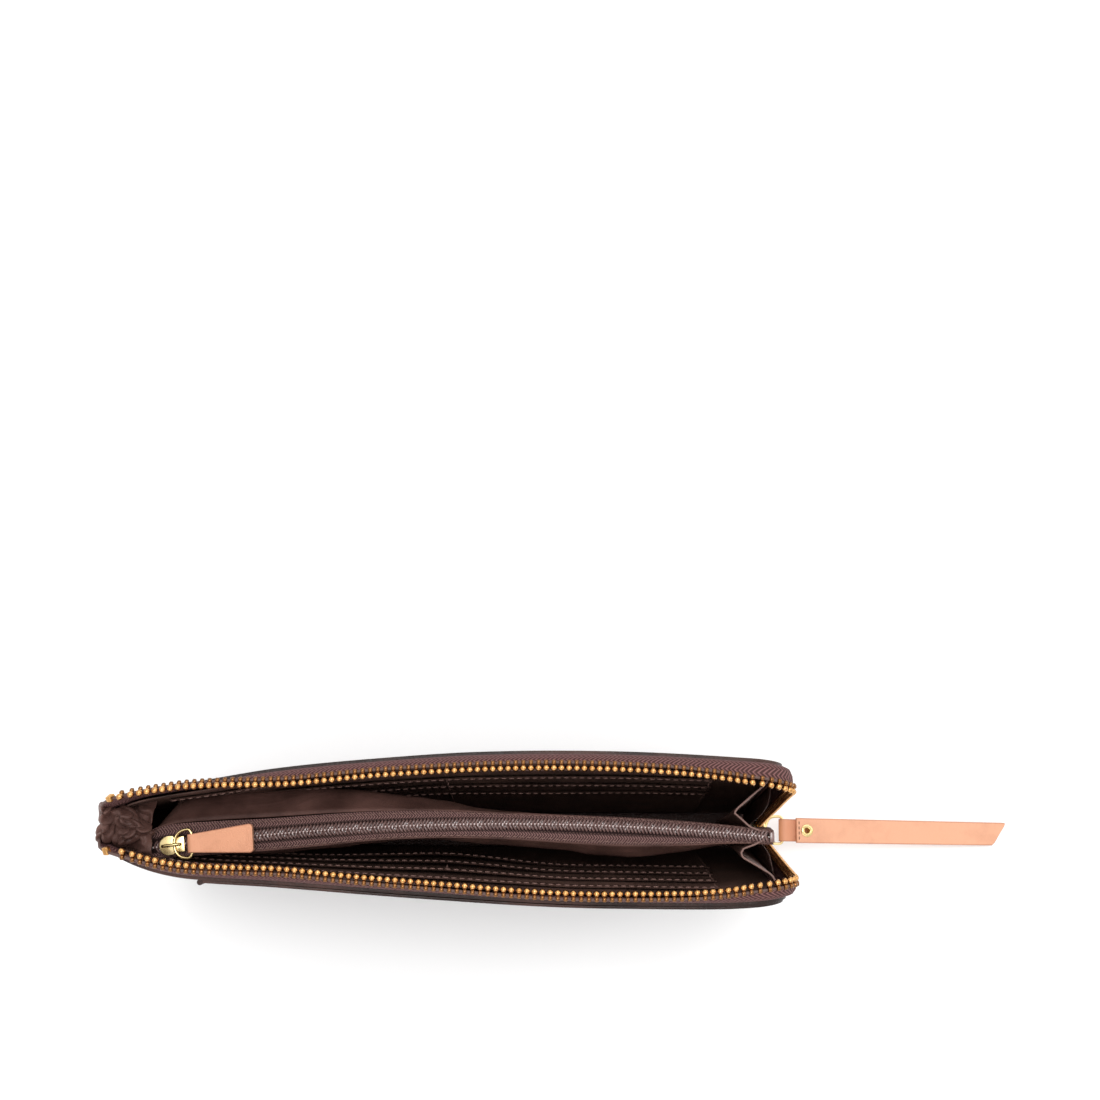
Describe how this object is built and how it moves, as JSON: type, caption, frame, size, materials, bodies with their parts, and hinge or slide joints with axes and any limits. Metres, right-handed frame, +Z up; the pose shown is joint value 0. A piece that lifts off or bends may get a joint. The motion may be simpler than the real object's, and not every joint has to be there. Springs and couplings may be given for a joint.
{
  "type": "zippered pouch",
  "caption": "Long zip-round leather pouch standing open on its spine, with card pockets, a zipped coin pocket down the middle and a leather pull strap.",
  "frame": {"origin": "middle of the spine's flat underside, which the pouch stands on", "axes": "+X along the length, to the end where the main slider and its strap are; +Y to the rear cover; +Z up, out of the open mouth"},
  "size_m": [0.3351, 0.054, 0.1238],
  "materials": {
    "brown_leather": "dark brown smooth leather, satin sheen",
    "stiffener_board": "bonded leather board, matte",
    "brown_satin": "brown satin",
    "brown_twill": "brown twill tape",
    "brown_nylon": "brown nylon coil",
    "brass": "polished golden brass",
    "pale_gold": "polished pale gold plating",
    "natural_leather": "undyed tan leather, matte"
  },
  "bodies": {
    "core": {"spine_panel": "brown_leather", "spine_board": "stiffener_board", "zip_pocket_front_wall": "brown_satin", "zip_pocket_rear_wall": "brown_satin", "zip_pocket_floor": "brown_satin", "inner_zip_front_tape": "brown_twill", "inner_zip_rear_tape": "brown_twill", "inner_zip_front_coil": "brown_nylon", "inner_zip_rear_coil": "brown_nylon", "inner_zip_bottom_stop": "pale_gold", "front_right_gusset": "brown_satin", "rear_right_gusset": "brown_satin", "front_left_gusset": "brown_satin", "rear_left_gusset": "brown_satin", "left_end_panel": "brown_leather", "main_zip_bottom_stop": "brass", "front_top_stop": "brass", "rear_top_stop": "brass"},
    "front_cover": {"front_cover": "brown_leather", "front_slip_pocket": "brown_leather", "front_board": "stiffener_board", "front_lining": "brown_satin", "front_card_pocket_tier_1": "brown_satin", "front_card_pocket_tier_2": "brown_satin", "front_card_pocket_tier_3": "brown_satin", "front_card_pocket_tier_4": "brown_satin", "front_zip_tape": "brown_twill", "front_tooth_row": "brass"},
    "rear_cover": {"rear_cover": "brown_leather", "rear_board": "stiffener_board", "rear_lining": "brown_satin", "rear_card_pocket_tier_1": "brown_satin", "rear_card_pocket_tier_2": "brown_satin", "rear_card_pocket_tier_3": "brown_satin", "rear_zip_tape": "brown_twill", "rear_tooth_row": "brass", "rear_card_pocket_tier_4": "brown_satin"},
    "main_slider": {"main_slider_body": "pale_gold"},
    "main_ring": {"main_pull_ring": "pale_gold"},
    "main_strap": {"strap_loop": "natural_leather", "pull_strap": "natural_leather", "strap_eyelet": "pale_gold"},
    "inner_slider": {"inner_slider_body": "pale_gold"},
    "inner_ring": {"inner_pull_ring": "pale_gold"},
    "inner_pull": {"inner_pull_tab": "natural_leather"}
  },
  "joints": [
    {"name": "front_cover_hinge", "type": "hinge", "parent": "core", "child": "front_cover", "pos_m": [0, -0.0095, 0.0015], "axis": [1, 0, 0], "range_deg": [-7, 0], "deforming": ["front_cover", "front_slip_pocket", "front_board", "front_lining", "front_card_pocket_tier_1", "front_card_pocket_tier_2", "front_card_pocket_tier_3", "front_card_pocket_tier_4", "front_zip_tape", "front_tooth_row", "front_right_gusset", "front_left_gusset"]},
    {"name": "rear_cover_hinge", "type": "hinge", "parent": "core", "child": "rear_cover", "pos_m": [0, 0.0095, 0.0015], "axis": [-1, 0, 0], "range_deg": [-7, 0], "deforming": ["rear_cover", "rear_board", "rear_lining", "rear_card_pocket_tier_1", "rear_card_pocket_tier_2", "rear_card_pocket_tier_3", "rear_zip_tape", "rear_tooth_row", "rear_right_gusset", "rear_left_gusset", "rear_card_pocket_tier_4"]},
    {"name": "main_slider_slide", "type": "slide", "parent": "core", "child": "main_slider", "axis": [0, 0, 1], "range_m": [0, 0.085]},
    {"name": "main_ring_hinge", "type": "hinge", "parent": "main_slider", "child": "main_ring", "pos_m": [0.1193, 0, 0.0165], "axis": [-0.0172, -0.9998, 0.003], "range_deg": [-40, 50]},
    {"name": "strap_hinge", "type": "hinge", "parent": "main_ring", "child": "main_strap", "pos_m": [0.12659, -0.00013, 0.01522], "axis": [-0.0172, -0.9998, 0.003], "range_deg": [-40, 50]},
    {"name": "inner_slider_travel", "type": "hinge", "parent": "core", "child": "inner_slider", "pos_m": [0.02, -0.897, 0.1018], "axis": [0, 0, -1], "range_deg": [0, 11], "deforming": ["inner_zip_front_coil", "inner_zip_rear_coil", "inner_zip_front_tape", "inner_zip_rear_tape"]},
    {"name": "inner_ring_hinge", "type": "hinge", "parent": "inner_slider", "child": "inner_ring", "pos_m": [-0.09151, -0.00494, 0.10455], "axis": [0.0871, -0.9962, 0.003], "range_deg": [0, 100]},
    {"name": "inner_tab_hinge", "type": "hinge", "parent": "inner_ring", "child": "inner_pull", "pos_m": [-0.08534, -0.0044, 0.10477], "axis": [0.0871, -0.9962, 0.003], "range_deg": [0, 50]}
  ],
  "couplings": [
    {"joint": "rear_cover_hinge", "follows": "front_cover_hinge", "ratio": 1},
    {"joint": "main_slider_slide", "follows": "front_cover_hinge", "m_per_rad": -0.6957}
  ]
}
